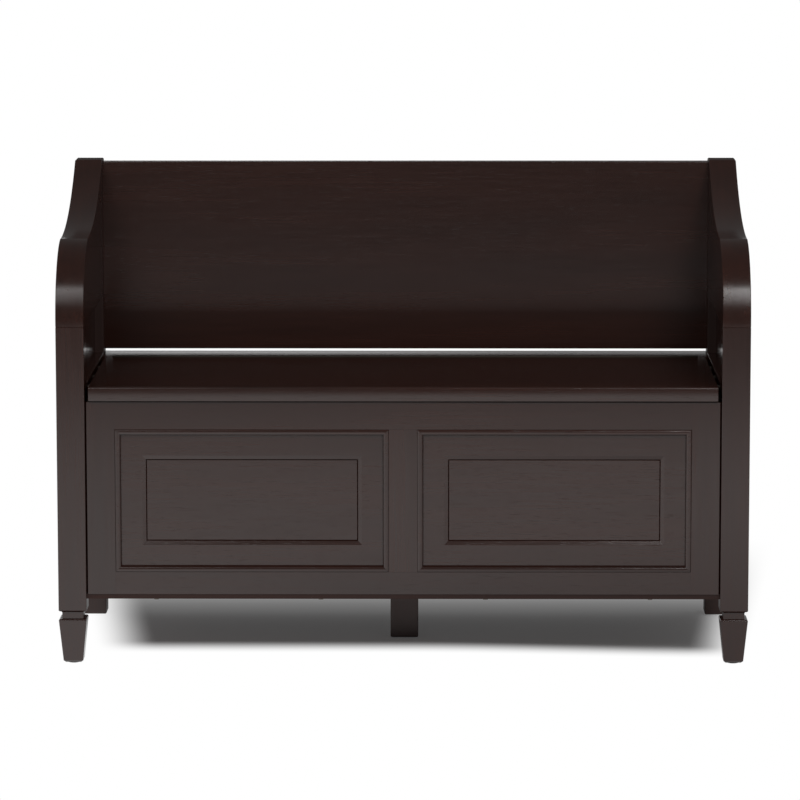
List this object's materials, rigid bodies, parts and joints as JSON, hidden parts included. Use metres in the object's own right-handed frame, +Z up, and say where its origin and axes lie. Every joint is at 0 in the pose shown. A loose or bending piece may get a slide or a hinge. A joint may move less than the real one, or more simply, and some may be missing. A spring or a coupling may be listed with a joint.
{
  "type": "storage bench",
  "caption": "Hall bench with a lift-up seat over a storage box, S-curved arms, a plain panel back and a panelled front.",
  "frame": {"origin": "on the floor under the middle of the bench", "axes": "+X along the bench, to the right of someone who faces its front; -Y out of the front; +Z up"},
  "size_m": [1.13, 0.472, 0.792],
  "materials": {
    "dark_wood": "dark brown stain under satin lacquer",
    "inner_wood": "stained, no lacquer",
    "thin_board": "thin stained board",
    "dowel_wood": "plain hardwood",
    "hinge_bronze": "dark bronze",
    "screw_steel": "darkened steel",
    "glide_plastic": "black nylon",
    "bumper_rubber": "soft black"
  },
  "bodies": {
    "bench": {"arm_dowels": "dowel_wood", "back_rail_dowels": "dowel_wood", "backrest": "dark_wood", "bottom_board": "thin_board", "bottom_board_screws": "screw_steel", "box_back_panel": "thin_board", "centre_leg": "dark_wood", "centre_leg_dowels": "dowel_wood", "frame_dowels": "dowel_wood", "front_bottom_rail": "dark_wood", "front_centre_stile": "dark_wood", "front_left_leg": "dark_wood", "front_left_stile": "dark_wood", "front_right_leg": "dark_wood", "front_right_stile": "dark_wood", "front_top_rail": "dark_wood", "hinge_fixed_leaf": "hinge_bronze", "hinge_fixed_screws": "screw_steel", "hinge_pin": "hinge_bronze", "hinge_rail": "dark_wood", "hinge_rail_dowels": "dowel_wood", "ledge_screws": "screw_steel", "left_arm": "dark_wood", "left_front_panel": "dark_wood", "left_lid_ledge": "inner_wood", "left_lower_side_rail": "dark_wood", "left_panel_moulding": "dark_wood", "left_side_panel": "dark_wood", "left_upper_side_rail": "dark_wood", "leg_glides": "glide_plastic", "lower_back_rail": "dark_wood", "rear_left_leg": "dark_wood", "rear_right_leg": "dark_wood", "right_arm": "dark_wood", "right_front_panel": "dark_wood", "right_lid_ledge": "inner_wood", "right_lower_side_rail": "dark_wood", "right_panel_moulding": "dark_wood", "right_side_panel": "dark_wood", "right_upper_side_rail": "dark_wood", "side_rail_dowels": "dowel_wood", "support_rail": "inner_wood", "support_rail_screws": "screw_steel", "upper_back_rail": "dark_wood", "upper_side_rail_screws": "screw_steel"},
    "lid": {"lid_board": "dark_wood", "left_lid_batten": "inner_wood", "right_lid_batten": "inner_wood", "lid_bumpers": "bumper_rubber", "hinge_moving_leaf": "hinge_bronze", "batten_screws": "screw_steel", "hinge_moving_screws": "screw_steel"}
  },
  "joints": [
    {"name": "lid_hinge", "type": "hinge", "parent": "bench", "child": "lid", "pos_m": [0, 0.1345, 0.46], "axis": [-1, 0, 0], "range_deg": [0, 95]}
  ]
}
